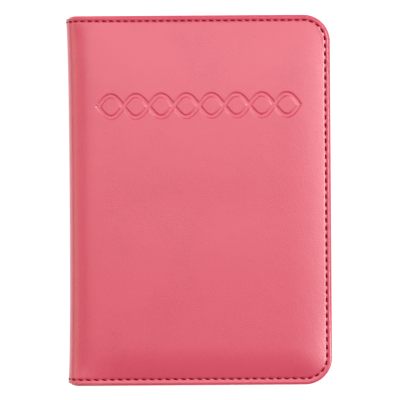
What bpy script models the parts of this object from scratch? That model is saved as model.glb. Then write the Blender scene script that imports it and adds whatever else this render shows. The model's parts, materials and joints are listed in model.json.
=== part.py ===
"""Passport holder: a padded leather folder, lying closed on its back.

Frame: metres. +X runs from the spine to the fore-edge, +Y to the top edge, and +Z up
through the closed holder. The origin is under its middle, on the surface it lies on.
The back cover stays still. The spine folds about the back crease, and the front cover
folds about the front crease. Both creases lie along Y.
"""

import math

import bmesh
import bpy
from mathutils import Matrix, Vector

MM = 0.001
TOLERANCE = 0.01 * MM

# Driving dimensions of the closed holder
WIDTH = 100 * MM
HEIGHT = 140 * MM
THICKNESS = 13 * MM
CORNER_RADIUS = 10.2 * MM
CREASE_RADIUS = 4 * MM

# Sheet thicknesses, and the gap left between sheets that touch on the real object
LEATHER = 0.5 * MM
BOARD = 0.4 * MM
LINING = 0.2 * MM
SLEEVE = 0.35 * MM
SLOT = 0.3 * MM
THREAD_RADIUS = 0.2 * MM
GAP = 0.12 * MM
THREAD_GAP = 0.05 * MM
SPLIT_GAP = 0.3 * MM

# The padded crown of each cover: a flat rim, a slope, then a flat plateau
CROWN = 1.4 * MM
RIM_WIDTH = 3.2 * MM
SLOPE_WIDTH = 5.6 * MM
SPINE_SLOPE = 6 * MM
HEM_WIDTH = 9 * MM

# Insets of the inner pieces from the cover's edge, and the board's from the crease
BOARD_INSET = 3.4 * MM
BOARD_SPINE_INSET = 3.5 * MM
FOAM_CLEARANCE = 0.6 * MM
SHEET_INSET = 1.0 * MM
STITCH_INSET = 1.9 * MM
HEM_STITCH_INSET = 1.5 * MM

# Pockets
BACK_SLEEVE_WIDTH = 62 * MM
FRONT_SLEEVE_WIDTH = 90 * MM
SLOT_NAMES = ("top", "middle", "bottom")
SLOT_DEPTH = 52 * MM
SLOT_STEP = 14 * MM
SLOT_INSET = 3.2 * MM

# Levels of one cover, measured inwards from the plane that its plateau lies in
RIM_LEVEL = CROWN
BOARD_LEVEL = RIM_LEVEL + LEATHER + GAP
HEM_TOP_LEVEL = BOARD_LEVEL + BOARD + GAP + LEATHER
LINING_LEVEL = HEM_TOP_LEVEL + GAP
SLEEVE_LEVEL = LINING_LEVEL + LINING + GAP
SLEEVE_TOP_LEVEL = SLEEVE_LEVEL + SLEEVE
SLOT_PITCH = SLOT + GAP
FOAM_LEVEL = LEATHER + GAP
FOAM_TOP_LEVEL = BOARD_LEVEL - GAP

# The creases: arcs of CREASE_RADIUS about lines along Y at CREASE_X, CREASE_LEVEL in from
# each face. The spine's leather is at SPINE_X, inside the width by the threads that stand
# proud of it. Each hinge axis is where a quarter turn unrolls the leather's middle layer.
# A cover's pieces and the spine's meet in the middle of the crease: HALF_FOLD is the turn
# that a sheet makes on its way there, and THREAD_FOLD the smaller one of a thread.
SPINE_X = -WIDTH / 2 + THREAD_GAP + 2 * THREAD_RADIUS
CREASE_X = SPINE_X + CREASE_RADIUS
CREASE_LEVEL = RIM_LEVEL + CREASE_RADIUS
NEUTRAL_RADIUS = CREASE_RADIUS - LEATHER / 2
HINGE_X = CREASE_X - math.pi / 4 * NEUTRAL_RADIUS
HINGE_LEVEL = CREASE_LEVEL - math.pi / 4 * NEUTRAL_RADIUS
SPINE_FLAT = THICKNESS - 2 * CREASE_LEVEL
HALF_FOLD = math.pi / 4 - SPLIT_GAP / 2 / CREASE_RADIUS
THREAD_SPLIT_GAP = 1.24 * MM
THREAD_FOLD = math.pi / 4 - THREAD_SPLIT_GAP / 2 / CREASE_RADIUS

ARC_STEPS = 4
CORNER_STEPS = 6
THREAD_STANDOFF = THREAD_GAP + THREAD_RADIUS
STEP_RUN = 0.7 * MM

CORAL = (0.78, 0.155, 0.215, 1)
CRIMSON = (0.16, 0.004, 0.016, 1)
LINING_PINK = (0.50, 0.085, 0.115, 1)
FOAM_GREY = (0.72, 0.70, 0.66, 1)
BOARD_GREY = (0.42, 0.37, 0.30, 1)


def remove_startup_objects():
    for obj in list(bpy.data.objects):
        bpy.data.objects.remove(obj, do_unlink=True)


def make_material(name, colour, roughness):
    material = bpy.data.materials.new(name)
    material.use_nodes = True
    shader = material.node_tree.nodes["Principled BSDF"]
    shader.inputs["Base Color"].default_value = colour
    shader.inputs["Roughness"].default_value = roughness
    shader.inputs["Metallic"].default_value = 0.0
    return material


def make_empty(name, location, parent=None):
    """An axis marker; its children turn about the line along Y through it."""
    empty = bpy.data.objects.new(name, None)
    empty.empty_display_type = "ARROWS"
    empty.empty_display_size = 10 * MM
    COLLECTION.objects.link(empty)
    hang_from(empty, parent)
    empty.matrix_world = Matrix.Translation(location)
    bpy.context.view_layer.update()
    return empty


def hang_from(obj, parent):
    if parent:
        obj.parent = parent
        obj.matrix_parent_inverse = parent.matrix_world.inverted()


class Cover:
    """Where a cover's pieces go: flip is False for the back one and True for the front one.

    Each piece is drawn as if for the back cover, and the front one's pieces are turned half
    a turn about the line along X through the middle of the closed holder.
    """

    def __init__(self, name, parent, flip):
        self.name = name
        self.parent = parent
        self.flip = flip

    def place(self, obj, level=0):
        turn = Matrix.Rotation(math.pi if self.flip else 0, 4, "X")
        lift = Matrix.Translation((0, 0, THICKNESS if self.flip else 0))
        COLLECTION.objects.link(obj)
        hang_from(obj, self.parent)
        obj.matrix_world = lift @ turn @ Matrix.Translation((0, 0, level))


def arc(centre, radius, start, end, steps):
    """Points on an arc in a plane, both ends included."""
    turns = [start + (end - start) * i / steps for i in range(steps + 1)]
    return [
        (centre[0] + radius * math.cos(a), centre[1] + radius * math.sin(a)) for a in turns
    ]


def cover_outline(inset, spine_edge):
    """Plan outline of a cover: square corners at spine_edge and round ones at the fore-edge."""
    right = WIDTH / 2 - inset
    top = HEIGHT / 2 - inset
    radius = CORNER_RADIUS - inset
    lower = arc((right - radius, radius - top), radius, -math.pi / 2, 0, CORNER_STEPS)
    upper = arc((right - radius, top - radius), radius, 0, math.pi / 2, CORNER_STEPS)
    return [(spine_edge, -top), *lower, *upper, (spine_edge, top)]


def rectangle(left, bottom, right, top):
    return [(left, bottom), (right, bottom), (right, top), (left, top)]


def add_plate(name, cover, outline, level, thickness, material):
    """A flat sheet whose near face is at level."""
    curve = bpy.data.curves.new(name, "CURVE")
    curve.dimensions = "2D"
    curve.fill_mode = "BOTH"
    curve.extrude = thickness / 2
    spline = curve.splines.new("POLY")
    spline.points.add(len(outline) - 1)
    for point, (x, y) in zip(spline.points, outline):
        point.co = (x, y, 0, 1)
    spline.use_cyclic_u = True
    curve.materials.append(material)
    cover.place(bpy.data.objects.new(name, curve), level + thickness / 2)


def add_thread(name, cover, points, material):
    """A round thread through points."""
    curve = bpy.data.curves.new(name, "CURVE")
    curve.dimensions = "3D"
    curve.bevel_depth = THREAD_RADIUS
    curve.bevel_resolution = 2
    curve.use_fill_caps = True
    spline = curve.splines.new("POLY")
    spline.points.add(len(points) - 1)
    for point, position in zip(spline.points, points):
        point.co = (*position, 1)
    curve.materials.append(material)
    cover.place(bpy.data.objects.new(name, curve))


def add_solid(name, cover, bm, material, wall=0):
    """The mesh as an object, given a wall inwards from its faces if one is asked for."""
    mesh = bpy.data.meshes.new(name)
    bm.to_mesh(mesh)
    bm.free()
    mesh.materials.append(material)
    obj = bpy.data.objects.new(name, mesh)
    if wall:
        solidify = obj.modifiers.new("wall", "SOLIDIFY")
        solidify.thickness = wall
        solidify.offset = -1
        solidify.use_even_offset = True
        solidify.use_quality_normals = True
    cover.place(obj)


def face_towards(bm, direction):
    """Turns an open surface so that its faces point along direction on the whole."""
    bmesh.ops.recalc_face_normals(bm, faces=bm.faces[:])
    bm.normal_update()
    total = sum((f.normal * f.calc_area() for f in bm.faces), Vector())
    if total.dot(Vector(direction)) < 0:
        bmesh.ops.reverse_faces(bm, faces=bm.faces[:])


def edges_at_crease(bm):
    """The edges that lie in the plane where the crease starts."""
    return [e for e in bm.edges if all(abs(v.co.x - CREASE_X) < TOLERANCE for v in e.verts)]


def spin_edges(bm, edges, level, angle):
    """Sweeps edges round the crease whose centre is at level, and returns the far ones."""
    verts = list({v for e in edges for v in e.verts})
    swept = bmesh.ops.spin(
        bm,
        geom=verts + edges,
        cent=(CREASE_X, 0, level),
        axis=(0, 1, 0),
        dvec=(0, 0, 0),
        angle=angle,
        steps=ARC_STEPS,
    )
    return [g for g in swept["geom_last"] if isinstance(g, bmesh.types.BMEdge)]


def leather_shell():
    """A cover's leather: crowned face, turned edge and hem, open at the crease."""
    bm = bmesh.new()
    beyond_spine = CREASE_X - 3 * HEM_WIDTH
    outline = cover_outline(0, beyond_spine)
    face = bm.faces.new([bm.verts.new((x, y, RIM_LEVEL)) for x, y in outline])
    raised = bmesh.ops.extrude_face_region(bm, geom=[face])["geom"]
    hem = next(g for g in raised if isinstance(g, bmesh.types.BMFace))
    lift = HEM_TOP_LEVEL - RIM_LEVEL
    bmesh.ops.translate(bm, verts=hem.verts[:], vec=(0, 0, lift))
    bmesh.ops.recalc_face_normals(bm, faces=bm.faces[:])
    bmesh.ops.inset_region(bm, faces=[hem], thickness=HEM_WIDTH, use_even_offset=True)
    bmesh.ops.delete(bm, geom=[hem], context="FACES_ONLY")
    bmesh.ops.inset_region(bm, faces=[face], thickness=RIM_WIDTH, use_even_offset=True)
    bmesh.ops.inset_region(
        bm, faces=[face], thickness=SLOPE_WIDTH, depth=CROWN, use_even_offset=True
    )
    cut_at(bm, CREASE_X + SPINE_SLOPE, clear=False)
    cut_at(bm, CREASE_X, clear=True)
    for vert in bm.verts:
        if abs(vert.co.x - CREASE_X) < TOLERANCE and vert.co.z < RIM_LEVEL:
            vert.co.z = RIM_LEVEL
    bmesh.ops.dissolve_degenerate(bm, dist=TOLERANCE, edges=bm.edges[:])
    spin_edges(bm, edges_at_crease(bm), CREASE_LEVEL, HALF_FOLD)
    face_towards(bm, (0, 0, -1))
    return bm


def cut_at(bm, x, clear):
    """Cuts across at x, and clears what is beyond it on the spine's side if asked to."""
    bmesh.ops.bisect_plane(
        bm,
        geom=bm.verts[:] + bm.edges[:] + bm.faces[:],
        dist=TOLERANCE / 10,
        plane_co=(x, 0, 0),
        plane_no=(-1, 0, 0),
        clear_outer=clear,
    )


def lining_sheet():
    """A cover's lining: flat, and curved up at the crease."""
    bm = bmesh.new()
    outline = cover_outline(SHEET_INSET, CREASE_X)
    bm.faces.new([bm.verts.new((x, y, LINING_LEVEL)) for x, y in outline])
    spin_edges(bm, edges_at_crease(bm), CREASE_LEVEL, HALF_FOLD)
    face_towards(bm, (0, 0, -1))
    return bm


def foam_pad():
    """A pad that thins towards its edges, in the hollow under the leather's crown."""
    bm = bmesh.new()
    spine_edge = CREASE_X + SPINE_SLOPE + FOAM_CLEARANCE
    plateau_inset = RIM_WIDTH + SLOPE_WIDTH + FOAM_CLEARANCE
    for inset, level in ((BOARD_INSET + GAP, FOAM_TOP_LEVEL), (plateau_inset, FOAM_LEVEL)):
        for x, y in cover_outline(inset + FOAM_CLEARANCE, spine_edge):
            bm.verts.new((x, y, level))
    bmesh.ops.convex_hull(bm, input=bm.verts[:])
    bmesh.ops.recalc_face_normals(bm, faces=bm.faces[:])
    return bm


def spine_sheet(section):
    """Sweeps a section round the back crease, up the spine and round the front crease.

    The section is a list of (y, radius) points, radius being the distance from the crease's
    centre line.
    """
    bm = bmesh.new()
    verts = [bm.verts.new((CREASE_X, y, CREASE_LEVEL - radius)) for y, radius in section]
    edges = [bm.edges.new(pair) for pair in zip(verts, verts[1:])]
    start = math.pi / 2 - HALF_FOLD
    bmesh.ops.rotate(
        bm,
        verts=verts,
        cent=(CREASE_X, 0, CREASE_LEVEL),
        matrix=Matrix.Rotation(start, 3, "Y"),
    )
    edges = spin_edges(bm, edges, CREASE_LEVEL, HALF_FOLD)
    raised = bmesh.ops.extrude_edge_only(bm, edges=edges)["geom"]
    verts = [g for g in raised if isinstance(g, bmesh.types.BMVert)]
    bmesh.ops.translate(bm, verts=verts, vec=(0, 0, SPINE_FLAT))
    edges = [g for g in raised if isinstance(g, bmesh.types.BMEdge)]
    spin_edges(bm, edges, THICKNESS - CREASE_LEVEL, HALF_FOLD)
    face_towards(bm, (-1, 0, 0))
    return bm


def crease_point(y, radius, angle, flip=False):
    """A point round a crease, at angle from the cover towards the spine."""
    z = CREASE_LEVEL - radius * math.cos(angle)
    return (CREASE_X - radius * math.sin(angle), y, THICKNESS - z if flip else z)


def outer_edge_route():
    """The stitch line outside a cover, from one crease end to the other by the fore-edge."""
    level = RIM_LEVEL - THREAD_STANDOFF
    radius = CREASE_LEVEL - level
    flat = [(x, y, level) for x, y in cover_outline(STITCH_INSET, CREASE_X)]
    turns = [THREAD_FOLD * i / ARC_STEPS for i in range(ARC_STEPS, 0, -1)]
    bottom, top = flat[0][1], flat[-1][1]
    into = [crease_point(bottom, radius, a) for a in turns]
    out = [crease_point(top, radius, a) for a in reversed(turns)]
    return into + flat + out


def inner_edge_route(sleeve_edge):
    """The stitch line inside a cover, stepping up where the sleeve starts."""
    low = LINING_LEVEL + LINING + THREAD_STANDOFF
    high = SLEEVE_TOP_LEVEL + THREAD_STANDOFF
    start = CREASE_X + STITCH_INSET
    outline = cover_outline(STITCH_INSET, sleeve_edge - STEP_RUN)
    bottom, top = outline[0][1], outline[-1][1]
    foot = sleeve_edge - 2 * STEP_RUN
    into = [(start, bottom, low), (foot, bottom, low)]
    out = [(foot, top, low), (start, top, low)]
    return into + [(x, y, high) for x, y in outline] + out


def spine_route(y, radius):
    """A stitch line up the spine from crease to crease."""
    first = math.pi / 2 - THREAD_FOLD
    turns = [first + THREAD_FOLD * i / ARC_STEPS for i in range(ARC_STEPS + 1)]
    lower = [crease_point(y, radius, a) for a in turns]
    upper = [crease_point(y, radius, a, flip=True) for a in reversed(turns)]
    return lower + upper


def slot_edge_route(left, right, tops, bottom):
    """The stitch line down one side of the card slots, along the bottom and up the other."""
    levels = [SLEEVE_TOP_LEVEL + SLOT_PITCH * (i + 1) + THREAD_STANDOFF for i in range(len(tops))]
    side = [(tops[0] - HEM_STITCH_INSET, levels[0])]
    for top, before, after in zip(tops[1:], levels, levels[1:]):
        side += [(top + 2 * STEP_RUN, before), (top + STEP_RUN, after)]
    side.append((bottom, levels[-1]))
    down = [(left, y, level) for y, level in side]
    return down + [(right, y, level) for y, level in reversed(side)]


def build_cover(cover, sleeve_width, materials):
    """The pieces that both covers have."""
    sleeve_edge = WIDTH / 2 - SHEET_INSET - sleeve_width
    board = cover_outline(BOARD_INSET, CREASE_X + BOARD_SPINE_INSET)
    sleeve = cover_outline(SHEET_INSET, sleeve_edge)
    name = cover.name
    add_solid(f"{name}_outer_leather", cover, leather_shell(), materials["leather"], LEATHER)
    add_solid(f"{name}_foam_padding", cover, foam_pad(), materials["foam"])
    add_plate(f"{name}_stiffener_board", cover, board, BOARD_LEVEL, BOARD, materials["board"])
    add_solid(f"{name}_lining", cover, lining_sheet(), materials["lining"], LINING)
    add_plate(f"{name}_sleeve_panel", cover, sleeve, SLEEVE_LEVEL, SLEEVE, materials["leather"])
    add_thread(f"{name}_edge_thread_outer", cover, outer_edge_route(), materials["thread"])
    inner = inner_edge_route(sleeve_edge)
    add_thread(f"{name}_edge_thread_inner", cover, inner, materials["thread"])
    hem_x = sleeve_edge + HEM_STITCH_INSET
    reach = HEIGHT / 2 - STITCH_INSET - 4 * THREAD_RADIUS
    level = SLEEVE_TOP_LEVEL + THREAD_STANDOFF
    hem = [(hem_x, -reach, level), (hem_x, reach, level)]
    add_thread(f"{name}_sleeve_hem_thread", cover, hem, materials["thread"])


def build_card_slots(cover, materials):
    """Three overlapping card pockets on the front cover's sleeve.

    The front cover's pieces are drawn turned over, so the drawing's -Y is the holder's +Y.
    """
    left = WIDTH / 2 - SHEET_INSET - FRONT_SLEEVE_WIDTH + 2 * HEM_STITCH_INSET
    right = WIDTH / 2 - SLOT_INSET
    foot = HEIGHT / 2 - SLOT_INSET
    last = len(SLOT_NAMES) - 1
    tops = [foot - SLOT_DEPTH - SLOT_STEP * (last - i) for i in range(len(SLOT_NAMES))]
    reach = 2 * HEM_STITCH_INSET
    for i, (name, top) in enumerate(zip(SLOT_NAMES, tops)):
        level = SLEEVE_TOP_LEVEL + GAP + SLOT_PITCH * i
        outline = rectangle(left, top, right, top + SLOT_DEPTH)
        add_plate(f"card_slot_{name}", cover, outline, level, SLOT, materials["leather"])
        stitch_y = top + HEM_STITCH_INSET
        stitch_level = level + SLOT + THREAD_STANDOFF
        ends = (left + reach, right - reach)
        stitches = [(x, stitch_y, stitch_level) for x in ends]
        add_thread(f"card_slot_{name}_thread", cover, stitches, materials["thread"])
    flipped = [-top for top in tops]
    route = slot_edge_route(
        left + HEM_STITCH_INSET, right - HEM_STITCH_INSET, flipped, HEM_STITCH_INSET - foot
    )
    route = [(x, -y, z) for x, y, z in route]
    add_thread("card_slot_edge_thread", cover, route, materials["thread"])


def build_spine(spine, materials):
    half = HEIGHT / 2
    hem_radius = CREASE_LEVEL - HEM_TOP_LEVEL
    lining_radius = CREASE_LEVEL - LINING_LEVEL
    leather_section = [
        (half - HEM_WIDTH, hem_radius),
        (half, hem_radius),
        (half, CREASE_RADIUS),
        (-half, CREASE_RADIUS),
        (-half, hem_radius),
        (HEM_WIDTH - half, hem_radius),
    ]
    lining_section = [(half - SHEET_INSET, lining_radius), (SHEET_INSET - half, lining_radius)]
    leather = spine_sheet(leather_section)
    add_solid("spine_outer_leather", spine, leather, materials["leather"], LEATHER)
    add_solid("spine_lining", spine, spine_sheet(lining_section), materials["lining"], LINING)
    build_spine_strip(spine, materials["board"])
    outside = CREASE_RADIUS + THREAD_STANDOFF
    inside = lining_radius - LINING - THREAD_STANDOFF
    for end, y in (("head", half - STITCH_INSET), ("tail", STITCH_INSET - half)):
        route = spine_route(y, outside)
        add_thread(f"spine_{end}_thread_outer", spine, route, materials["thread"])
        route = spine_route(y, inside)
        add_thread(f"spine_{end}_thread_inner", spine, route, materials["thread"])


def build_spine_strip(spine, material):
    """The stiffening strip between the spine's leather and its hems."""
    outside = SPINE_X + LEATHER + GAP
    bm = bmesh.new()
    size = (BOARD, HEIGHT - 2 * BOARD_INSET, SPINE_FLAT)
    centre = (outside + BOARD / 2, 0, THICKNESS / 2)
    place = Matrix.Translation(centre) @ Matrix.Diagonal((*size, 1))
    bmesh.ops.create_cube(bm, size=1, matrix=place)
    add_solid("spine_reinforcement_strip", spine, bm, material)


def build():
    materials = {
        "leather": make_material("coral_leather", CORAL, 0.45),
        "thread": make_material("crimson_thread", CRIMSON, 0.6),
        "lining": make_material("pink_lining", LINING_PINK, 0.85),
        "foam": make_material("grey_foam", FOAM_GREY, 0.95),
        "board": make_material("grey_board", BOARD_GREY, 0.9),
    }
    back_axis = make_empty("back_crease_axis", (HINGE_X, 0, HINGE_LEVEL))
    front_axis = make_empty(
        "front_crease_axis", (HINGE_X, 0, THICKNESS - HINGE_LEVEL), back_axis
    )
    back = Cover("back", None, flip=False)
    spine = Cover("spine", back_axis, flip=False)
    front = Cover("front", front_axis, flip=True)
    build_cover(back, BACK_SLEEVE_WIDTH, materials)
    build_spine(spine, materials)
    build_cover(front, FRONT_SLEEVE_WIDTH, materials)
    build_card_slots(front, materials)


remove_startup_objects()
COLLECTION = bpy.data.collections.new("passport_holder")
bpy.context.scene.collection.children.link(COLLECTION)
build()
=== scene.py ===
"""The looks of the padded leather passport holder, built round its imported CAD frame.

Each cover is drawn flat first. A flat point is (x, y, h): x runs from the fore-edge towards
the spine and on round the crease to the middle of the spine, y up the holder, and h is the
height outside the rim of the cover. wrap() bends such points round the crease, and the back
cover is the front one's drawing mirrored about the middle of the closed holder.
"""

import json
import math

import bmesh
import bpy
import numpy as np
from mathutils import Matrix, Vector

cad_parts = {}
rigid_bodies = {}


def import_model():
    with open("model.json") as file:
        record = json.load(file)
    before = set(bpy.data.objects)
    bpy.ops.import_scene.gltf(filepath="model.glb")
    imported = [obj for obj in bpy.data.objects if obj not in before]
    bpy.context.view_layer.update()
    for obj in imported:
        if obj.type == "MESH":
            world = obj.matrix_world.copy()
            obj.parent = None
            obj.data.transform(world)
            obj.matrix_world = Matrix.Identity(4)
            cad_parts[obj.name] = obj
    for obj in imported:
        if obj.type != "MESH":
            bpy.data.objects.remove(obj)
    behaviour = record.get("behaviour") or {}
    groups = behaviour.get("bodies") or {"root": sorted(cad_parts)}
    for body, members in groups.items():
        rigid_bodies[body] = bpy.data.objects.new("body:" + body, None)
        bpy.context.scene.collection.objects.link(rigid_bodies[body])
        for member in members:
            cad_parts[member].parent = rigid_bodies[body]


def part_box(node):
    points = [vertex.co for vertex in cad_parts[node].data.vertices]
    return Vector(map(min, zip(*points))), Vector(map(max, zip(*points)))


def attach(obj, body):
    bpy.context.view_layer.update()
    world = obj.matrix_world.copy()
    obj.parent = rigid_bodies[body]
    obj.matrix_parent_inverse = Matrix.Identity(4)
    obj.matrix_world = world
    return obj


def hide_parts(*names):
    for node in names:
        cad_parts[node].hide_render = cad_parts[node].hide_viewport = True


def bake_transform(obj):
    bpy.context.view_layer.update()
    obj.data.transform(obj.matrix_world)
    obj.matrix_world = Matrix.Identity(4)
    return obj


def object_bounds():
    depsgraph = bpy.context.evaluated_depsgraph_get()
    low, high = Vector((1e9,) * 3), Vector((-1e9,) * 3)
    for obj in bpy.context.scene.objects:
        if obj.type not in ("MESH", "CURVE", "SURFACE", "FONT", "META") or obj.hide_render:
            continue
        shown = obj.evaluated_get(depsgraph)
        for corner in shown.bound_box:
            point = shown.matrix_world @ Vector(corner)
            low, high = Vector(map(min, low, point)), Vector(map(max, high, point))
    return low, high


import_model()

CAD_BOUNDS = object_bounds()
MM = 0.001

# Sizes and places read from the frame
FORE_EDGE, HALF_HEIGHT, THICKNESS = CAD_BOUNDS[1]
SPINE_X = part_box("spine_outer_leather")[0][0]
CREASE_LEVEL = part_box("spine_reinforcement_strip")[0][2]
LINING_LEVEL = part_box("back_lining")[0][2]
SLEEVE_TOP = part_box("back_sleeve_panel")[1][2]
BACK_SLEEVE_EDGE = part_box("back_sleeve_panel")[0][0]
FRONT_SLEEVE_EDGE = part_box("front_sleeve_panel")[0][0]

# The covers' outline, creases and padded crown. A start or run is a share of the half height.
CORNER_RADIUS = 10.2 * MM
CREASE_RADIUS = 4 * MM
CREASE_X = SPINE_X + CREASE_RADIUS
RIM_LEVEL = CREASE_LEVEL - CREASE_RADIUS
CROWN = RIM_LEVEL
SPINE_CROWN = 0.6 * MM
TOP_RIM_DROP = 0.1 * MM
BOTTOM_RIM_DROP = 0.5 * MM
RIM_DROP_START = 0.4
RIM_DROP_RUN = 0.5
FORE_FLANK = 15 * MM
TOP_FLANK = 32 * MM
BOTTOM_FLANK = 13.5 * MM
FLANK_POWER = 2.2
CORNER_POWER = 4
DOME = 0.25 * MM
DOME_POWERS = (3, 2.5)
DENT_PLACE = (2 * MM, -3 * MM)
DENT_SPREAD = (32 * MM, 10 * MM)
DENT_DEPTH = 0.14 * MM
SPINE_FALL = (-1.5 * MM, 21 * MM)
SHOULDER_DROP = 1.5 * MM
SHOULDER_X = CREASE_X - 1.7 * MM
SHOULDER_SPREAD = 4 * MM
SHOULDER_END_SHARE = 0.55
SHOULDER_END_START = 0.86
SHOULDER_END_RUN = 0.12
SPINE_WAIST = 0.75 * MM
WAIST_POWER = 3
SPINE_END_PULL = 0.15 * MM
PULL_POWER = 6
HEM_DEPTH = 1.64 * MM
HEM_WIDTH = 9 * MM

ARC_LENGTH = CREASE_RADIUS * math.pi / 2
FLAT_LENGTH = THICKNESS / 2 - CREASE_LEVEL
MID_SPINE = CREASE_X - ARC_LENGTH - FLAT_LENGTH
CORNER_X = FORE_EDGE - CORNER_RADIUS
CORNER_Y = HALF_HEIGHT - CORNER_RADIUS

# The turned edge's bead, and the groove of the stitches with a pucker at each one
BEAD_HEIGHT = 0.1 * MM
BEAD_INSET = 0.95 * MM
BEAD_SPREAD = 0.55 * MM
GROOVE_DEPTH = 0.3 * MM
GROOVE_SPREAD = 0.3 * MM
PUCKER_SHARE = 0.45

# The sheets inside
LINING_INSET = 1.0 * MM
LINING_THICKNESS = 0.2 * MM
LINING_CURL = 0.12 * MM
LINING_CURL_SPREAD = 0.25 * MM
LINING_SINK = 0.4 * MM
LINING_SINK_LEAD = 0.8 * MM
LINING_SINK_RUN = 2.4 * MM
LINING_CREASE_RUN = 4 * MM
LEATHER_WALL = 0.5 * MM
SHEET_WALL = 0.22 * MM
FOLD_RADIUS = 0.3 * MM
FOAM_GAP = 0.04 * MM
FOAM_SPINE_INSET = 7 * MM
SLEEVE_HEM = 8 * MM
SLEEVE_HEM_STEP = 0.22 * MM
SLEEVE_HEM_RUN = 1.6 * MM
SLEEVE_END_SHARE = 0.8
SLEEVE_END_SPREAD = 3 * MM
SLEEVE_SEAM_DIP = 0.1 * MM
SLEEVE_SEAM_SPREAD = 0.5 * MM
SLEEVE_BULGE = 0.35 * MM
SLEEVE_BULGE_RISE = 9 * MM
SLEEVE_BULGE_SPREAD = 30 * MM
SLOT_HEM = 7 * MM
SLOT_HEM_STEP = 0.25 * MM
SLOT_HEM_RUN = 1.4 * MM
SLOT_BULGE = 0.16 * MM
SLOT_BULGE_RISE = 12 * MM
SLOT_BULGE_SPREAD = 16 * MM
HEM_STITCH_INSET = 1.5 * MM
HEM_STITCH_DIP = 0.12 * MM
HEM_STITCH_SPREAD = 0.45 * MM

# How far below their sheet's surface the middles of the stitches lie, and how far short of
# their sheet's ends the straight runs stop
OUTER_STITCH_SINK = 0.13 * MM
INNER_STITCH_SINK = 0.06 * MM
SLEEVE_STITCH_SINK = 0.45 * MM
SLOT_STITCH_SINK = 0.4 * MM
SLOT_EDGE_STITCH_SINK = 0.3 * MM
SLEEVE_STITCH_END = 1.4 * MM
SLOT_STITCH_END = 2.6 * MM

# Stitching. Where there are three values, they are for the top, fore-edge and bottom.
STITCH_INSET = 1.9 * MM
TOP_PITCH = 2.7 * MM
SIDE_PITCH = 3.0 * MM
STITCH_LENGTH = 1.85 * MM
THREAD_RADIUS = 0.26 * MM
THREAD_FLATNESS = 0.82
LINE_SHIFTS = (0.18 * MM, 0.05 * MM, 0.5 * MM)
LINE_SHIFT_RUN = 12 * MM
STITCH_LEANS = (0.08 * MM, -0.1 * MM, 0.2 * MM)
STITCH_TAPERS = (-1, 1, 1)
STITCH_GIRTHS = (0.85, 1, 0.95)
SIDE_STRETCH = 1.06
STITCH_RINGS = 9
STITCH_SIDES = 10
STITCH_ARCH = 0.13 * MM
STITCH_DIVE = 0.34 * MM
DIVE_POWER = 7
TAPER_SHARE = 0.22
END_FULLNESS = 1.06
END_PINCH = 0.5
PLY_DEPTH = 0.13
PLY_TURN = 1.9
TWIST_SPREAD = 0.35
EDGE_TWIST_STEP = 12.9898
RUN_TWIST_STEP = 7.233

# Mesh fineness
TINY = 1e-9
WELD_DISTANCE = 0.002 * MM
FINE_STEP = 0.3 * MM
COARSE_EVERY = 4
FINE_ROWS_IN_CELL = 5
LINING_STEP = 1.2 * MM
SLEEVE_STEP = 0.6 * MM
FOAM_STEP = 2.4 * MM
SLOT_COLUMNS = 86
SLOT_HEM_ROWS = 14
SLOT_TAIL_ROWS = 30
STRIP_ROWS = 60

# The band pressed into the front cover
BAND_CENTRE = (0.2 * MM, 35.7 * MM)
BAND_LENGTH = 76 * MM
BAND_HEIGHT = 9.7 * MM
BAND_CELLS = 8
BAND_STROKE = 1.5 * MM
BAND_DEPTH = 0.36 * MM
BAND_SHOULDER = 0.3 * MM
BAND_TILT = math.radians(0.35)
BAND_MARGIN = 2 * MM

# Each material's darkest and lightest colour
CORAL = ((0.637, 0.0635, 0.116), (0.697, 0.0765, 0.131))
INNER_CORAL = ((0.612, 0.0605, 0.111), (0.672, 0.0735, 0.126))
LINING_PINK = ((0.36, 0.05, 0.07), (0.60, 0.12, 0.155))
CRIMSON = ((0.17, 0.001, 0.007), (0.31, 0.003, 0.016))
BOARD_GREY = ((0.30, 0.26, 0.21), (0.46, 0.41, 0.34))
FOAM_GREY = ((0.62, 0.60, 0.56), (0.74, 0.72, 0.68))

# The stage. Each light has a name, place, size, power and colour, and aims at the origin.
FLOOR_SIZE = 6
FLOOR_GLOW = 0.85
WORLD_STRENGTH = 0.95
WHITE = (1, 1, 1)
LIGHTS = (
    ("top", (0.0, 0.35, 1.6), (1.6, 0.7), 6.2, WHITE),
    ("right_strip", (1.15, 0.25, 1.35), (1.4, 0.3), 28.4, WHITE),
    ("left_rake", (-0.85, 0.0, 0.45), (0.8, 0.4), 1.3, (0.88, 1, 0.68)),
    ("left_fill", (-1.1, 0.6, 1.2), (1.0, 1.0), 12.2, WHITE),
)
UNREFLECTED_LIGHT = "left_fill"
SENSOR_WIDTH = 36
CAMERA_DISTANCE = 0.8
CAMERA_PLACE = (0.4 * MM, 0.1 * MM, THICKNESS + CAMERA_DISTANCE)
CAMERA_TURN = math.radians(-0.4)
VIEW_WIDTH = 150.9 * MM


def smooth(t):
    """Smoothstep of t between 0 and 1."""
    t = np.clip(t, 0, 1)
    return t * t * (3 - 2 * t)


def bump(x, centre, spread):
    return np.exp(-(((x - centre) / spread) ** 2))


# ---------------------------------------------------------------- flat drawing and wrapping


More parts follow.
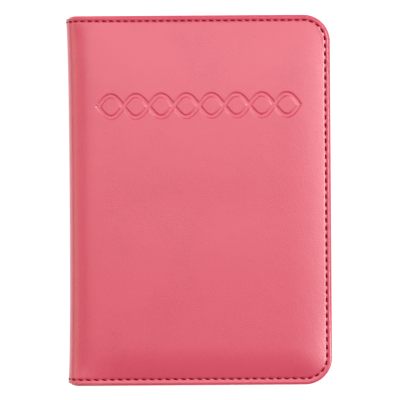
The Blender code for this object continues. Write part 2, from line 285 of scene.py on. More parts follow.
def wrap(points):
    """Bends flat points (x, y, h) of the front cover round its crease to where they lie."""
    x, y, h = np.asarray(points, float).T
    past = np.clip(CREASE_X - x, 0, None)
    angle = np.clip(past / CREASE_RADIUS, 0, math.pi / 2)
    down = np.clip(past - ARC_LENGTH, 0, None)
    h = h - shoulder_drop(x, y) * np.clip(1 + h / HEM_DEPTH, 0, 1)
    radius = CREASE_RADIUS + h
    turn = np.sin(angle) ** 2
    waist = SPINE_WAIST * (1 - np.abs(y / HALF_HEIGHT) ** WAIST_POWER) * turn
    pull = 1 - SPINE_END_PULL / HALF_HEIGHT * turn * np.abs(y / HALF_HEIGHT) ** PULL_POWER
    out_x = np.where(past > 0, CREASE_X - radius * np.sin(angle), x) + waist
    out_z = THICKNESS - CREASE_LEVEL + radius * np.cos(angle) - down
    out_z = np.where(past > 0, out_z, THICKNESS - RIM_LEVEL + h)
    return np.stack([out_x, y * pull, out_z], axis=1)


def shoulder_drop(x, y):
    """How far the leather sinks beside the crease, less so at the holder's two ends."""
    at_end = smooth((np.abs(y) / HALF_HEIGHT - SHOULDER_END_START) / SHOULDER_END_RUN)
    share = 1 - (1 - SHOULDER_END_SHARE) * at_end
    return SHOULDER_DROP * share * bump(x, SHOULDER_X, SHOULDER_SPREAD)


def mirror_down(points):
    """The front cover's points as the back cover's."""
    return np.asarray(points) * (1, 1, -1) + (0, 0, THICKNESS)


def stitch_line_ends():
    """Lengths along the stitch line, from the middle of the spine: its parts' ends."""
    straight = CORNER_X - MID_SPINE
    corner = (CORNER_RADIUS - STITCH_INSET) * math.pi / 2
    side = 2 * CORNER_Y
    return np.cumsum([0, straight, corner, side, corner, straight])


LINE_ENDS = stitch_line_ends()
TOP_LENGTH = LINE_ENDS[1] + 0.5 * (LINE_ENDS[2] - LINE_ENDS[1])


def along_edge(length, inset):
    """Flat (x, y) at a length along the stitch line and an inset from the cover's edge."""
    length = np.atleast_1d(np.asarray(length, float))
    inset = np.broadcast_to(np.asarray(inset, float), length.shape)
    ends = LINE_ENDS
    line_radius = CORNER_RADIUS - STITCH_INSET
    radius = CORNER_RADIUS - inset
    part = np.clip(np.searchsorted(ends, length, side="right") - 1, 0, 4)
    travel = length - ends[part]
    edge_x, edge_y = FORE_EDGE - inset, HALF_HEIGHT - inset
    angle = math.pi / 2 - travel / line_radius
    lower = -travel / line_radius
    x = np.choose(
        part,
        [
            MID_SPINE + travel,
            CORNER_X + radius * np.cos(angle),
            edge_x,
            CORNER_X + radius * np.cos(lower),
            CORNER_X - travel,
        ],
    )
    y = np.choose(
        part,
        [
            edge_y,
            CORNER_Y + radius * np.sin(angle),
            CORNER_Y - travel,
            -CORNER_Y + radius * np.sin(lower),
            -edge_y,
        ],
    )
    return np.stack([x, y], axis=1)


def stitch_phase(length):
    """How many stitches there are up to a length along the line: the top's are shorter."""
    past_top = np.maximum(length - TOP_LENGTH, 0)
    return np.minimum(length, TOP_LENGTH) / TOP_PITCH + past_top / SIDE_PITCH


def length_at_phase(phase):
    before = np.minimum(phase * TOP_PITCH, TOP_LENGTH)
    return before + np.maximum(phase - TOP_LENGTH / TOP_PITCH, 0) * SIDE_PITCH


# ---------------------------------------------------------------- heights of the outer skin


def crown_share(x):
    """1 on the padded cover, falling to 0 where the leather turns into the crease."""
    low, high = SPINE_FALL
    return smooth((x - CREASE_X - low) / (high - low))


def edge_height(inset, length):
    """The turned edge's bead, and the groove that the stitches draw in."""
    pucker = np.cos(2 * math.pi * stitch_phase(length))
    bead = BEAD_HEIGHT * bump(inset, BEAD_INSET, BEAD_SPREAD)
    line = STITCH_INSET + line_shift(length)
    groove = GROOVE_DEPTH * bump(inset, line, GROOVE_SPREAD) * (1 - PUCKER_SHARE * pucker)
    return bead - groove


def flank_rise(x, y):
    """0 on the rim, and 1 on the flat of the pad, past the flanks along the three edges."""
    from_fore_edge = 1 - (FORE_EDGE - x - STITCH_INSET) / FORE_FLANK
    end_flank = np.where(y > 0, TOP_FLANK, BOTTOM_FLANK)
    from_ends = 1 - (HALF_HEIGHT - np.abs(y) - STITCH_INSET) / end_flank
    outward = np.clip(from_fore_edge, 0, None) ** CORNER_POWER
    outward = outward + np.clip(from_ends, 0, None) ** CORNER_POWER
    return 1 - np.clip(outward, 0, 1) ** (FLANK_POWER / CORNER_POWER)


def rim_drop(y):
    """How far the rim lies below the frame's one: it is pressed flatter at the bottom."""
    low = smooth((-y / HALF_HEIGHT - RIM_DROP_START) / RIM_DROP_RUN)
    return TOP_RIM_DROP + (BOTTOM_RIM_DROP - TOP_RIM_DROP) * low


def pad_height(x, y):
    """The height of the leather over the foam, which is a low dome with a shallow dent."""
    share = crown_share(x)
    crown = SPINE_CROWN + (CROWN - SPINE_CROWN) * share
    across = np.clip(np.abs(x) / FORE_EDGE, 0, 1) ** DOME_POWERS[0]
    up = np.clip(np.abs(y) / HALF_HEIGHT, 0, 1) ** DOME_POWERS[1]
    hollow = DOME * share * (1 - (1 - across) * (1 - up))
    dent_across, dent_up = map(bump, (x, y), DENT_PLACE, DENT_SPREAD)
    hollow = hollow + DENT_DEPTH * dent_across * dent_up
    rim = SPINE_CROWN - (SPINE_CROWN + rim_drop(y)) * share
    return rim + (crown - rim - hollow) * flank_rise(x, y)


def band_depth(x, y):
    """Depth of the pressed band: two waves that cross, and make a chain of lens shapes."""
    dx, dy = x - BAND_CENTRE[0], y - BAND_CENTRE[1]
    u = dx * math.cos(BAND_TILT) + dy * math.sin(BAND_TILT)
    v = dy * math.cos(BAND_TILT) - dx * math.sin(BAND_TILT)
    reach = BAND_LENGTH / 2
    wave = (BAND_HEIGHT - BAND_STROKE) / 2
    turns = math.pi * BAND_CELLS / BAND_LENGTH
    inside = np.clip(u, -reach, reach)
    height = wave * np.sin(turns * (inside + reach))
    slope = wave * turns * np.cos(turns * (inside + reach))
    steep = np.sqrt(1 + slope**2)
    beyond = np.abs(u) - reach
    depth = np.zeros_like(u)
    for side in (-1, 1):
        away = np.abs(v - side * height) / steep
        away = np.where(beyond > 0, np.hypot(beyond, v), away)
        depth = np.maximum(depth, smooth((BAND_STROKE / 2 - away) / BAND_SHOULDER + 0.5))
    return BAND_DEPTH * depth


# ---------------------------------------------------------------- meshes


def make_object(name, points, faces, material):
    mesh = bpy.data.meshes.new(name)
    mesh.from_pydata(np.asarray(points).tolist(), [], faces)
    obj = bpy.data.objects.new(name, mesh)
    bpy.context.scene.collection.objects.link(obj)
    mesh.materials.append(material)
    mesh.shade_smooth()
    return obj


def weld(obj):
    bm = bmesh.new()
    bm.from_mesh(obj.data)
    bmesh.ops.remove_doubles(bm, verts=bm.verts[:], dist=WELD_DISTANCE)
    bmesh.ops.dissolve_degenerate(bm, edges=bm.edges[:], dist=WELD_DISTANCE)
    bm.to_mesh(obj.data)
    bm.free()
    obj.data.shade_smooth()


class Drawing:
    """Flat points and faces of one sheet, collected part by part."""

    def __init__(self):
        self.points = []
        self.faces = []

    def add(self, points):
        """Keeps an array of points, and returns their numbers in its shape."""
        points = np.asarray(points, float)
        first = sum(len(p) for p in self.points)
        flat = points.reshape(-1, 3)
        self.points.append(flat)
        return (first + np.arange(len(flat))).reshape(points.shape[:-1])

    def quads(self, numbers):
        """Faces over a grid of point numbers."""
        a, b = numbers[:-1, :-1], numbers[1:, :-1]
        c, d = numbers[1:, 1:], numbers[:-1, 1:]
        self.faces += np.stack([a, b, c, d], axis=-1).reshape(-1, 4).tolist()

    def stepped(self, fine, coarse):
        """One row of faces from a finely divided line to a coarser one."""
        every = (len(fine) - 1) // (len(coarse) - 1)
        for i in range(len(coarse) - 1):
            near = fine[i * every : (i + 1) * every + 1][::-1]
            self.faces.append([*near.tolist(), int(coarse[i]), int(coarse[i + 1])])

    def all_points(self):
        return np.concatenate(self.points)


def stations(left, step, every):
    """Lengths along the stitch line, evenly spaced on each straight and corner."""
    ends = LINE_ENDS.copy()
    ends[0] = left - MID_SPINE
    ends[5] = LINE_ENDS[5] - ends[0]
    lengths = [ends[:1]]
    for low, high in zip(ends, ends[1:]):
        count = every * max(2, round((high - low) / step / every))
        lengths.append(np.linspace(low, high, count + 1)[1:])
    return np.concatenate(lengths)


EDGE_ROUND = [
    (HEM_WIDTH, -HEM_DEPTH),
    (1.2 * MM, -HEM_DEPTH),
    (0.7 * MM, -1.6 * MM),
    (0.32 * MM, -1.45 * MM),
    (0.09 * MM, -1.27 * MM),
    (0.0 * MM, -1.05 * MM),
    (0.06 * MM, -0.82 * MM),
    (0.24 * MM, -0.61 * MM),
    (0.53 * MM, -0.47 * MM),
]
FACE_ROWS = MM * np.array(
    [0.85, 1.1, 1.35, 1.55, 1.73, 1.9, 2.05, 2.2, 2.35, 2.5, 2.7, 3.0, 3.4, 3.9]
)
SLOPE_ROWS = MM * np.array([4.8, 5.8, 7.0, 8.4, 10.2])


def leather_skin(band):
    """A cover's leather with half the spine's: hem, turned edge, stitch groove and crown."""
    draw = Drawing()
    lengths = stations(MID_SPINE, FINE_STEP, COARSE_EVERY)
    rows = [edge_row(lengths, inset, np.full_like(lengths, h)) for inset, h in EDGE_ROUND]
    for inset in FACE_ROWS:
        height = pad_height(*along_edge(lengths, inset).T) + edge_height(inset, lengths)
        rows.append(edge_row(lengths, inset, height))
    fine = draw.add(np.stack(rows))
    draw.quads(fine)
    sparse = lengths[::COARSE_EVERY]
    rows = []
    for inset in SLOPE_ROWS:
        rows.append(edge_row(sparse, inset, pad_height(*along_edge(sparse, inset).T)))
    coarse = draw.add(np.stack(rows))
    draw.stepped(fine[-1], coarse[0])
    draw.quads(coarse)
    fill_middle(draw, sparse, band)
    return draw


def edge_row(lengths, inset, height):
    return np.column_stack([along_edge(lengths, inset), height])


def middle_height(x, y, band):
    return pad_height(x, y) - band_depth(x, y) if band else pad_height(x, y)


def fill_middle(draw, sparse, band):
    """The grid inside the edge rows, with finer cells where the band is pressed in."""
    xs, ys = middle_lines(sparse)
    numbers = add_grid(draw, xs, ys, band)
    if not band:
        draw.quads(numbers)
        return
    columns = np.flatnonzero(np.abs(xs - BAND_CENTRE[0]) < BAND_LENGTH / 2 + BAND_MARGIN)
    rows = np.flatnonzero(np.abs(ys - BAND_CENTRE[1]) < BAND_HEIGHT / 2 + BAND_MARGIN)
    left, right, top, bottom = columns[0], columns[-1], rows[0], rows[-1]
    fine_x = refined(xs[left : right + 1], FINE_ROWS_IN_CELL)
    fine_y = refined(ys[top : bottom + 1], FINE_ROWS_IN_CELL)
    block = add_grid(draw, fine_x, fine_y, band)
    draw.quads(block)
    for j in range(len(ys) - 1):
        for i in range(len(xs) - 1):
            if not (left <= i < right and top <= j < bottom):
                draw.faces.append(coarse_face(numbers, block, i, j, (left, right, top, bottom)))


def middle_lines(lengths):
    """The grid's x values, at stations on the top edge, and y values, at ones on the fore-edge."""
    xs = lengths[lengths <= LINE_ENDS[1] + TINY] + MID_SPINE
    on_side = (lengths >= LINE_ENDS[2] - TINY) & (lengths <= LINE_ENDS[3] + TINY)
    return xs, CORNER_Y - (lengths[on_side] - LINE_ENDS[2])


def add_grid(draw, xs, ys, band):
    x, y = np.meshgrid(xs, ys)
    return draw.add(np.stack([x, y, middle_height(x, y, band)], axis=-1))


def coarse_face(numbers, block, i, j, block_ends):
    """A cell of the coarse grid, with the points of the block's edge if it touches the block."""
    left, right, top, bottom = block_ends
    n = FINE_ROWS_IN_CELL
    a, b = int(numbers[j, i]), int(numbers[j + 1, i])
    c, d = int(numbers[j + 1, i + 1]), int(numbers[j, i + 1])
    across = slice((i - left) * n + 1, (i - left + 1) * n)
    down = slice((j - top) * n + 1, (j - top + 1) * n)
    in_x, in_y = left <= i < right, top <= j < bottom
    if in_x and j + 1 == top:
        return [a, b, *block[0, across].tolist(), c, d]
    if in_x and j == bottom:
        return [a, b, c, d, *block[-1, across][::-1].tolist()]
    if in_y and i + 1 == left:
        return [a, b, c, *block[down, 0][::-1].tolist(), d]
    if in_y and i == right:
        return [a, *block[down, -1].tolist(), b, c, d]
    return [a, b, c, d]


def refined(values, count):
    """The values with count - 1 more between each two."""
    at = np.linspace(0, len(values) - 1, (len(values) - 1) * count + 1)
    return np.interp(at, np.arange(len(values)), values)


def cover_piece(name, draw, flip, material):
    """The drawing as a piece of the front cover, or of the back one if flip is set."""
    points = wrap(draw.all_points())
    faces = draw.faces
    if flip:
        points = mirror_down(points)
        faces = [face[::-1] for face in faces]
    obj = make_object(name, points, faces, material)
    weld(obj)
    return obj


def give_wall(obj, thickness):
    """Thickens a sheet, and keeps its cut edges from shading into its faces."""
    bm = bmesh.new()
    bm.from_mesh(obj.data)
    for edge in bm.edges:
        edge.smooth = not edge.is_boundary
    bm.to_mesh(obj.data)
    bm.free()
    wall = obj.modifiers.new("wall", "SOLIDIFY")
    wall.thickness = thickness
    wall.offset = -1


def level_height(level):
    """The height h of a level, which is measured inwards from the plane of a cover's crown."""
    return RIM_LEVEL - level


def sheet_drawing(left, insets, step, height):
    """A sheet over a cover, from left to the fore-edge, with height(x, y, inset) for its h."""
    draw = Drawing()
    lengths = stations(left, step, 1)
    rows = []
    for inset in insets:
        x, y = along_edge(lengths, inset).T
        rows.append(np.column_stack([x, y, height(x, y, np.full_like(x, inset))]))
    draw.quads(draw.add(np.stack(rows)))
    x, y = np.meshgrid(*middle_lines(lengths))
    inset = np.full_like(x, CORNER_RADIUS)
    draw.quads(draw.add(np.stack([x, y, height(x, y, inset)], axis=-1)))
    return draw


def fold_under(points, edge, radius, axis=0, towards=1):
    """Turns what is beyond edge under the sheet, round a fold of radius.

    The sheet's seen side is its lower one in h, and towards is the way from the edge into it.
    """
    points = np.array(points)
    into = (points[:, axis] - edge) * towards
    past = np.clip(radius - into, 0, None)
    angle = np.clip(past / radius, 0, math.pi)
    straight = np.clip(past - math.pi * radius, 0, None)
    folded = radius - radius * np.sin(angle) + straight
    points[:, axis] = np.where(past > 0, edge + towards * folded, points[:, axis])
    points[:, 2] += np.where(past > 0, radius * (1 - np.cos(angle)), 0)
    return points


# ---------------------------------------------------------------- stitches


def line_shift(length):
    """How much further in the stitches run, along the top, the fore-edge and the bottom."""
    corners = (LINE_ENDS[1] + LINE_ENDS[2]) / 2, (LINE_ENDS[3] + LINE_ENDS[4]) / 2
    past = [smooth((length - corner) / LINE_SHIFT_RUN + 0.5) for corner in corners]
    top, side, bottom = LINE_SHIFTS
    return top + (side - top) * past[0] + (bottom - side) * past[1]


def edge_place(length, across):
    return along_edge(length, STITCH_INSET + line_shift(length) + across)


def stitch(draw, place, ends, base, away, twist, lean=STITCH_LEANS[0], taper=1, girth=1):
    """One stitch between two lengths along a line, arched over a base height.

    place(length, across) gives the line's flat points, away is 1 on the outside and -1 on
    the inside, and twist is the phase of the two plies. The stitch leans by lean at each
    end, and taper is 1 if it is thicker at its end and -1 if at its start.
    """
    start, end = ends
    u = np.linspace(-1, 1, STITCH_RINGS)
    length = (start + end) / 2 + u * (end - start) / 2
    arch = STITCH_ARCH * (1 - u**2) - STITCH_DIVE * np.abs(u) ** DIVE_POWER
    thick = THREAD_RADIUS * girth * (1 + TAPER_SHARE * taper * u)
    thick = thick * np.sqrt(np.minimum(END_FULLNESS - END_PINCH * u**4, 1))
    turns = 2 * math.pi * np.arange(STITCH_SIDES) / STITCH_SIDES
    turn, ring = np.meshgrid(turns, np.arange(STITCH_RINGS))
    plies = 1 + PLY_DEPTH * np.cos(2 * (turn - PLY_TURN * u[ring] - twist))
    radius = thick[ring] * plies
    across = lean * u[ring] + radius * np.cos(turn)
    lift = arch[ring] + THREAD_FLATNESS * radius * np.sin(turn)
    flat = place(length[ring].ravel(), across.ravel())
    height = base + away * lift.ravel()
    numbers = draw.add(np.column_stack([flat, height]).reshape(STITCH_RINGS, STITCH_SIDES, 3))
    numbers = np.column_stack([numbers, numbers[:, :1]])
    if away > 0:
        numbers = numbers[:, ::-1]
    draw.quads(numbers)
    draw.faces.append(numbers[0, :-1][::-1].tolist())
    draw.faces.append(numbers[-1, :-1].tolist())


def edge_stitches(base, away):
    """The stitches round three edges and half the spine, base(x, y) being what they lie on."""
    draw = Drawing()
    total = stitch_phase(LINE_ENDS[5])
    for i in range(int(total)):
        middle = length_at_phase(i + 0.5)
        if middle + STITCH_LENGTH / 2 > LINE_ENDS[5]:
            break
        side = 0 if middle < LINE_ENDS[1] else 1 if middle < LINE_ENDS[4] else 2
        half = STITCH_LENGTH / 2 * (SIDE_STRETCH if side else 1)
        ends = (middle - half, middle + half)
        manner = STITCH_LEANS[side], STITCH_TAPERS[side], STITCH_GIRTHS[side]
        floor = base(*edge_place(middle, 0)[0])
        twist = TWIST_SPREAD * math.sin(EDGE_TWIST_STEP * i)
        stitch(draw, edge_place, ends, floor, away, twist, *manner)
    return draw


def straight_place(start, end):
    """Flat places along a straight line, by length and distance to its left."""
    start, end = np.array(start), np.array(end)
    ahead = (end - start) / np.linalg.norm(end - start)
    left = np.array([-ahead[1], ahead[0]])

    def place(length, across):
        return start + np.outer(length, ahead) + np.outer(across, left)

    return place


def straight_stitches(draw, start, end, base):
    """A run of stitches on the inside, along a straight line, on a base height base(x, y)."""
    run = math.dist(start, end)
    count = int(run / SIDE_PITCH)
    place = straight_place(start, end)
    for i in range(count):
        middle = run * (i + 0.5) / count
        spot = place(np.array([middle]), np.array([0]))[0]
        ends = (middle - STITCH_LENGTH / 2, middle + STITCH_LENGTH / 2)
        twist = TWIST_SPREAD * math.sin(RUN_TWIST_STEP * i)
        stitch(draw, place, ends, base(*spot), -1, twist)


# ---------------------------------------------------------------- materials


def weave_threads(nodes, links, coords, scale, direction):
    node = nodes.new("ShaderNodeTexWave")
    node.bands_direction = direction
    node.inputs["Scale"].default_value = scale
    node.inputs["Distortion"].default_value = 0.4
    node.inputs["Detail"].default_value = 1
    links.new(coords, node.inputs["Vector"])
    return node.outputs["Fac"]


def add_bump(nodes, links, height, strength, distance, after=None):
    node = nodes.new("ShaderNodeBump")
    node.inputs["Strength"].default_value = strength
    node.inputs["Distance"].default_value = distance
    links.new(height, node.inputs["Height"])
    if after:
        links.new(after, node.inputs["Normal"])
    return node.outputs["Normal"]


def new_material(name):
    material = bpy.data.materials.new(name)
    material.use_nodes = True
    nodes = material.node_tree.nodes
    return material, nodes, material.node_tree.links, nodes["Principled BSDF"]


def noise(nodes, links, coords, scale, detail=2.0, roughness=0.5):
    node = nodes.new("ShaderNodeTexNoise")
    node.inputs["Scale"].default_value = scale
    node.inputs["Detail"].default_value = detail
    node.inputs["Roughness"].default_value = roughness
    links.new(coords, node.inputs["Vector"])
    return node.outputs["Fac"]


def ramp(nodes, links, value, stops):
    node = nodes.new("ShaderNodeValToRGB")
    elements = node.color_ramp.elements
    for element, (place, colour) in zip(elements, stops):
        element.position = place
        element.color = (*colour, 1)
    links.new(value, node.inputs["Fac"])
    return node.outputs["Color"]


def combine(nodes, links, operation, first, second):
    node = nodes.new("ShaderNodeMath")
    node.operation = operation
    links.new(first, node.inputs[0])
    links.new(second, node.inputs[1])
    return node.outputs[0]


def leather(name, colours):
    """Smooth coated leather: a fine pebble grain, soft gloss and slight unevenness."""
    material, nodes, links, shader = new_material(name)
    coords = nodes.new("ShaderNodeTexCoord").outputs["Object"]
    clouds = noise(nodes, links, coords, scale=45, detail=3)
    grain = noise(nodes, links, coords, scale=1700)
    tone = combine(nodes, links, "ADD", clouds, grain)
    links.new(ramp(nodes, links, tone, zip((0.7, 1.3), colours)), shader.inputs["Base Color"])
    shader.inputs["Roughness"].default_value = 0.36
    shader.inputs["IOR"].default_value = 1.55
    shader.inputs["Specular IOR Level"].default_value = 0.9
    shader.inputs["Coat Weight"].default_value = 0.5
    shader.inputs["Coat Roughness"].default_value = 0.32
    pebble = nodes.new("ShaderNodeTexVoronoi")
    pebble.inputs["Scale"].default_value = 1900
    links.new(coords, pebble.inputs["Vector"])
    fine = add_bump(nodes, links, pebble.outputs["Distance"], 0.5, 0.06 * MM)
    uneven = noise(nodes, links, coords, scale=260, detail=3)
    links.new(add_bump(nodes, links, uneven, 0.16, 0.3 * MM, fine), shader.inputs["Normal"])
    return material


def woven_lining():
    """Plain-weave cloth: two sets of fine threads that cross."""
    material, nodes, links, shader = new_material("pink_lining")
    coords = nodes.new("ShaderNodeTexCoord").outputs["Object"]
    warp = weave_threads(nodes, links, coords, 950, "X")
    weft = weave_threads(nodes, links, coords, 950, "Y")
    weave = combine(nodes, links, "MULTIPLY", warp, weft)
    slub = noise(nodes, links, coords, scale=700, detail=3)
    tone = combine(nodes, links, "ADD", weave, slub)
    colours = zip((0.35, 1.0), LINING_PINK)
    links.new(ramp(nodes, links, tone, colours), shader.inputs["Base Color"])
    shader.inputs["Roughness"].default_value = 0.8
    shader.inputs["Sheen Weight"].default_value = 0.25
    shader.inputs["Sheen Roughness"].default_value = 0.5
    normal = add_bump(nodes, links, weave, 0.5, 0.06 * MM)
    links.new(normal, shader.inputs["Normal"])
    return material


def speckled(name, colours, scale, roughness):
    """A dull material of fine specks, for foam and board."""
    material, nodes, links, shader = new_material(name)
    coords = nodes.new("ShaderNodeTexCoord").outputs["Object"]
    specks = noise(nodes, links, coords, scale, detail=4, roughness=0.7)
    stops = zip((0.35, 0.65), colours)
    links.new(ramp(nodes, links, specks, stops), shader.inputs["Base Color"])
    shader.inputs["Roughness"].default_value = roughness
    links.new(add_bump(nodes, links, specks, 0.4, 0.1 * MM), shader.inputs["Normal"])
    return material


def thread_material():
    material, nodes, links, shader = new_material("crimson_thread")
    coords = nodes.new("ShaderNodeTexCoord").outputs["Object"]
    tone = noise(nodes, links, coords, scale=2200)
    colours = zip((0.3, 0.75), CRIMSON)
    links.new(ramp(nodes, links, tone, colours), shader.inputs["Base Color"])
    shader.inputs["Roughness"].default_value = 0.65
    shader.inputs["Specular IOR Level"].default_value = 0.06
    fuzz = noise(nodes, links, coords, scale=6000)
    links.new(add_bump(nodes, links, fuzz, 0.3, 0.05 * MM), shader.inputs["Normal"])
    return material


# ---------------------------------------------------------------- pieces

# Whether a cover is the mirrored one, its name, and where its sleeve's open edge is
SIDES = ((False, "front", FRONT_SLEEVE_EDGE), (True, "back", BACK_SLEEVE_EDGE))
SLOT_NAMES = ("top", "middle", "bottom")
# The heights at which the leather, halfway to its hem, and the lining bend round the crease
SKIN_HEIGHT = -HEM_DEPTH / 2
LINING_HEIGHT = level_height(LINING_LEVEL)
# How far in from the edge, or down from a pocket's mouth, each sheet's rows of points lie
LINING_ROWS = LINING_INSET + MM * np.array([0, 0.15, 0.4, 0.9, 1.8, 3.2, 5, 6.6, 7.4, 8.2, 9.2])
SLEEVE_ROWS = LINING_INSET + MM * np.array([0, 0.2, 0.6, 0.9, 1.3, 2.2, 3.8, 5.6, 7.4, 9.2])
SLOT_ROWS = MM * np.array([0, 0.3, 0.7, 1.1, 1.5, 1.9, 2.4, 3.2, 4.5, 6, 7.2, 8, 8.8, 9.6, 11])
FOAM_ROWS = MM * np.array([5.4, 6, 7, 8.4, 10.2])


def bend_at_crease(piece, flip, height):
    """Bakes a piece's transform into its mesh; the crease's ends that it works out for a height h
    are not used.
    """
    radius = CREASE_RADIUS + height
    level = THICKNESS - CREASE_LEVEL
    start, end = np.array([(CREASE_X, 0, level + radius), (CREASE_X - radius, 0, level)])
    if flip:
        start, end = mirror_down([start, end])
    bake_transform(piece)


def add_skins(material):
    for flip, side, _ in SIDES:
        piece = cover_piece(f"{side}_leather_skin", leather_skin(not flip), flip, material)
        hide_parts(f"{side}_outer_leather", "spine_outer_leather")
        bend_at_crease(piece, flip, SKIN_HEIGHT)


def groove_floor(x, y):
    return float(pad_height(x, y)) - OUTER_STITCH_SINK


def add_edge_stitches(material):
    """The needle thread outside each cover and half the spine, and the bobbin thread inside."""
    for flip, side, sleeve_edge in SIDES:

        def inner_floor(x, y, sleeve_edge=sleeve_edge):
            return float(inner_height(x, sleeve_edge)) - INNER_STITCH_SINK

        for where, floor, away in (("outer", groove_floor, 1), ("inner", inner_floor, -1)):
            draw = edge_stitches(floor, away)
            piece = cover_piece(f"{side}_edge_stitches_{where}", draw, flip, material)
            ends = [f"spine_{end}_thread_{where}" for end in ("head", "tail")]
            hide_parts(f"{side}_edge_thread_{where}", *ends)
            bend_at_crease(piece, flip, SKIN_HEIGHT if away > 0 else LINING_HEIGHT)


def inner_height(x, sleeve_edge):
    """The height of the inside surface near the edge: the lining's, or the sleeve's."""
    lining = level_height(LINING_LEVEL + LINING_THICKNESS)
    sleeve = level_height(SLEEVE_TOP)
    return lining + (sleeve - lining) * smooth((x - sleeve_edge) / MM + 0.5)


def lining_height(x, y, inset):
    """The lining lies over the hems, and is glued down to the board inside them."""
    from_hem = np.minimum(HALF_HEIGHT - np.abs(y), FORE_EDGE - x)
    from_hem = np.where(inset < CORNER_RADIUS - TINY, inset, from_hem)
    sunk = smooth((from_hem - HEM_WIDTH + LINING_SINK_LEAD) / LINING_SINK_RUN)
    on_cover = smooth((x - CREASE_X) / LINING_CREASE_RUN)
    curl = LINING_CURL * bump(inset, LINING_INSET, LINING_CURL_SPREAD)
    return LINING_HEIGHT + curl + LINING_SINK * sunk * on_cover


def add_linings(material):
    for flip, side, _ in SIDES:
        draw = sheet_drawing(MID_SPINE, LINING_ROWS, LINING_STEP, lining_height)
        piece = cover_piece(f"{side}_lining_cloth", draw, flip, material)
        give_wall(piece, LINING_THICKNESS)
        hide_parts(f"{side}_lining", "spine_lining")
        bend_at_crease(piece, flip, LINING_HEIGHT)


def add_sleeves(material):
    """The sleeves: leather sheets with a turned and stitched edge towards the spine."""
    beyond = SLEEVE_HEM + math.pi * FOLD_RADIUS
    for flip, side, edge in SIDES:

        def height(x, y, inset, edge=edge):
            away = x - edge
            hem = SLEEVE_HEM_STEP * (1 - smooth((away - SLEEVE_HEM) / SLEEVE_HEM_RUN))
            line = HEM_STITCH_DIP * bump(away, HEM_STITCH_INSET, HEM_STITCH_SPREAD)
            seam = SLEEVE_SEAM_DIP * bump(inset, STITCH_INSET, SLEEVE_SEAM_SPREAD)
            end = 1 - SLEEVE_END_SHARE * bump(inset, LINING_INSET, SLEEVE_END_SPREAD)
            bulge = SLEEVE_BULGE * smooth(inset / SLEEVE_BULGE_RISE)
            bulge = bulge * bump(away, 0, SLEEVE_BULGE_SPREAD)
            return level_height(SLEEVE_TOP) - hem * end + line + seam - bulge

        draw = sheet_drawing(edge - beyond, SLEEVE_ROWS, SLEEVE_STEP, height)
        draw.points = [fold_under(draw.all_points(), edge, FOLD_RADIUS)]
        piece = cover_piece(f"{side}_sleeve_leather", draw, flip, material)
        give_wall(piece, SHEET_WALL)
        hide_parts(f"{side}_sleeve_panel")
        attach(piece, f"{side}_cover")


def add_sleeve_stitches(material):
    for flip, side, edge in SIDES:
        x = edge + HEM_STITCH_INSET
        reach = HALF_HEIGHT - STITCH_INSET - SLEEVE_STITCH_END
        floor = level_height(SLEEVE_TOP) - SLEEVE_STITCH_SINK
        draw = Drawing()
        straight_stitches(draw, (x, -reach), (x, reach), lambda x, y, floor=floor: floor)
        piece = cover_piece(f"{side}_sleeve_stitches", draw, flip, material)
        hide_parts(f"{side}_sleeve_hem_thread")
        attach(piece, f"{side}_cover")


def front_height(z):
    """The height h of a level z of the front cover."""
    return z - (THICKNESS - RIM_LEVEL)


def slot_sheet(low, high):
    """A card pocket's leather: its upper edge is turned under and stitched."""
    beyond = SLOT_HEM + math.pi * FOLD_RADIUS
    xs = np.linspace(low[0], high[0], SLOT_COLUMNS)
    hem_rows = -np.linspace(beyond, 0.1 * MM, SLOT_HEM_ROWS)
    tail_rows = np.linspace(SLOT_ROWS[-1], high[1] - low[1], SLOT_TAIL_ROWS)[1:]
    ys = high[1] - np.concatenate([hem_rows, SLOT_ROWS, tail_rows])
    x, y = np.meshgrid(xs, ys)
    away = high[1] - y
    hem = SLOT_HEM_STEP * (1 - smooth((away - SLOT_HEM) / SLOT_HEM_RUN))
    line = HEM_STITCH_DIP * bump(away, HEM_STITCH_INSET, HEM_STITCH_SPREAD)
    side = np.minimum(x - low[0], high[0] - x)
    bulge = SLOT_BULGE * smooth(side / SLOT_BULGE_RISE) * bump(away, 0, SLOT_BULGE_SPREAD)
    draw = Drawing()
    height = front_height(low[2]) - hem + line - bulge
    numbers = draw.add(np.stack([x, y, height], axis=-1))
    draw.quads(numbers)
    draw.points = [fold_under(draw.all_points(), high[1], FOLD_RADIUS, axis=1, towards=-1)]
    return draw


def add_card_slots(inner, thread):
    for name in SLOT_NAMES:
        low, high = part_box(f"card_slot_{name}")
        piece = cover_piece(f"card_slot_{name}_leather", slot_sheet(low, high), False, inner)
        give_wall(piece, SHEET_WALL)
        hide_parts(f"card_slot_{name}")
        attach(piece, "front_cover")
        y = high[1] - HEM_STITCH_INSET
        floor = front_height(low[2]) - SLOT_STITCH_SINK
        draw = Drawing()
        ends = ((low[0] + SLOT_STITCH_END, y), (high[0] - SLOT_STITCH_END, y))
        straight_stitches(draw, *ends, lambda x, y, floor=floor: floor)
        piece = cover_piece(f"card_slot_{name}_stitches", draw, False, thread)
        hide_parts(f"card_slot_{name}_thread")
        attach(piece, "front_cover")


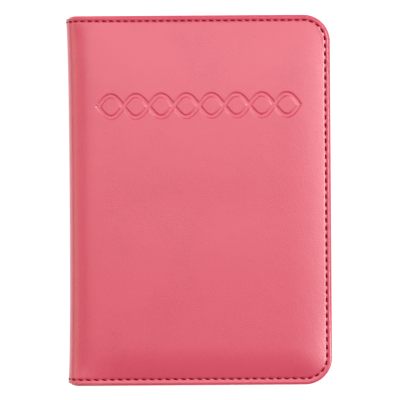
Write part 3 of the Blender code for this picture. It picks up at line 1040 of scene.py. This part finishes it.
def add_slot_edge_stitches(thread):
    """The stitches down both sides of the card pockets and along their foot."""
    boxes = [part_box(f"card_slot_{name}") for name in SLOT_NAMES]
    left, right = boxes[0][0][0] + HEM_STITCH_INSET, boxes[0][1][0] - HEM_STITCH_INSET
    top, foot = boxes[0][1][1] - HEM_STITCH_INSET / 2, boxes[-1][0][1] + HEM_STITCH_INSET

    def floor(x, y):
        under = [low[2] for low, high in boxes if y < high[1]]
        return front_height(min(under)) - SLOT_EDGE_STITCH_SINK

    draw = Drawing()
    corners = [(left, top), (left, foot), (right, foot), (right, top)]
    for start, end in zip(corners, corners[1:]):
        straight_stitches(draw, start, end, floor)
    piece = cover_piece("card_slot_edge_stitches", draw, False, thread)
    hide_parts("card_slot_edge_thread")
    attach(piece, "front_cover")


def close_under(piece, level):
    """Makes a sheet a solid, by walls down to a level and a flat face there."""
    bm = bmesh.new()
    bm.from_mesh(piece.data)
    lower = bmesh.ops.extrude_face_region(bm, geom=bm.faces[:])["geom"]
    for part in lower:
        if isinstance(part, bmesh.types.BMVert):
            part.co.z = level
    bmesh.ops.recalc_face_normals(bm, faces=bm.faces[:])
    bm.to_mesh(piece.data)
    bm.free()


def add_padding(foam):
    """The foam pads between the leather and the boards."""
    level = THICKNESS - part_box("front_stiffener_board")[1][2] - FOAM_GAP

    def height(x, y, inset):
        return pad_height(x, y) - LEATHER_WALL

    for flip, side, _ in SIDES:
        draw = sheet_drawing(CREASE_X + FOAM_SPINE_INSET, FOAM_ROWS, FOAM_STEP, height)
        piece = cover_piece(f"{side}_foam", draw, flip, foam)
        close_under(piece, level if flip else THICKNESS - level)
        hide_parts(f"{side}_foam_padding")
        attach(piece, f"{side}_cover")


def add_spine_strip(board):
    low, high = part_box("spine_reinforcement_strip")
    ys = np.linspace(low[1], high[1], STRIP_ROWS)
    xs = np.linspace(MID_SPINE, MID_SPINE + FLAT_LENGTH, 3)
    x, y = np.meshgrid(xs, ys)
    height = np.full_like(x, SPINE_X - low[0])
    upper = wrap(np.stack([x, y, height], axis=-1).reshape(-1, 3)).reshape(len(ys), 3, 3)
    lower = mirror_down(upper)[:, ::-1]
    draw = Drawing()
    draw.quads(draw.add(np.concatenate([lower, upper[:, 1:]], axis=1)))
    piece = make_object("spine_stiffening_strip", draw.all_points(), draw.faces, board)
    give_wall(piece, high[0] - low[0])
    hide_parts("spine_reinforcement_strip")
    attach(piece, "spine")


def dress_boards(board):
    for side in ("front", "back"):
        materials = bpy.data.objects[f"{side}_stiffener_board"].data.materials
        materials.clear()
        materials.append(board)


# ---------------------------------------------------------------- stage, light and camera


def add_floor():
    bpy.ops.mesh.primitive_plane_add(size=FLOOR_SIZE, location=(0, 0, 0))
    floor = bpy.context.object
    floor.name = "floor"
    material, _, _, shader = new_material("pale_floor")
    shader.inputs["Base Color"].default_value = (0.4, 0.4, 0.4, 1)
    shader.inputs["Roughness"].default_value = 0.9
    shader.inputs["Specular IOR Level"].default_value = 0.1
    shader.inputs["Emission Color"].default_value = (*WHITE, 1)
    shader.inputs["Emission Strength"].default_value = FLOOR_GLOW
    floor.data.materials.append(material)


def add_area_light(name, place, size, power, colour):
    """A rectangular light that aims at the origin."""
    data = bpy.data.lights.new(name, "AREA")
    data.shape = "RECTANGLE"
    data.size, data.size_y = size
    data.energy = power
    data.color = colour
    light = bpy.data.objects.new(name, data)
    bpy.context.scene.collection.objects.link(light)
    light.location = place
    light.rotation_euler = (-Vector(place)).to_track_quat("-Z", "Y").to_euler()
    light.visible_glossy = name != UNREFLECTED_LIGHT


def add_lights():
    """A world that only the camera sees, and area lights."""
    world = bpy.data.worlds.new("studio")
    bpy.context.scene.world = world
    world.use_nodes = True
    background = world.node_tree.nodes["Background"]
    background.inputs["Color"].default_value = (*WHITE, 1)
    background.inputs["Strength"].default_value = WORLD_STRENGTH
    world.cycles_visibility.diffuse = False
    world.cycles_visibility.glossy = False
    for light in LIGHTS:
        add_area_light(*light)


def add_camera():
    """Looks straight down with a long lens, turned a little as the holder lies."""
    data = bpy.data.cameras.new("camera")
    data.sensor_width = SENSOR_WIDTH
    data.lens = SENSOR_WIDTH * CAMERA_DISTANCE / VIEW_WIDTH
    camera = bpy.data.objects.new("camera", data)
    bpy.context.scene.collection.objects.link(camera)
    camera.location = CAMERA_PLACE
    camera.rotation_euler = (0, 0, CAMERA_TURN)
    bpy.context.scene.camera = camera


def set_view():
    view = bpy.context.scene.view_settings
    view.view_transform = "Standard"
    view.look = "None"
    view.exposure = 0
    view.gamma = 1


def build():
    coral = leather("coral_leather", CORAL)
    crimson = thread_material()
    inner = leather("inner_coral_leather", INNER_CORAL)
    board = speckled("grey_board", BOARD_GREY, scale=1800, roughness=0.9)
    foam = speckled("grey_foam", FOAM_GREY, scale=3000, roughness=0.95)
    add_skins(coral)
    add_edge_stitches(crimson)
    add_linings(woven_lining())
    add_sleeves(inner)
    add_sleeve_stitches(crimson)
    add_card_slots(inner, crimson)
    add_slot_edge_stitches(crimson)
    add_padding(foam)
    add_spine_strip(board)
    dress_boards(board)
    add_floor()
    add_lights()
    add_camera()
    set_view()


build()
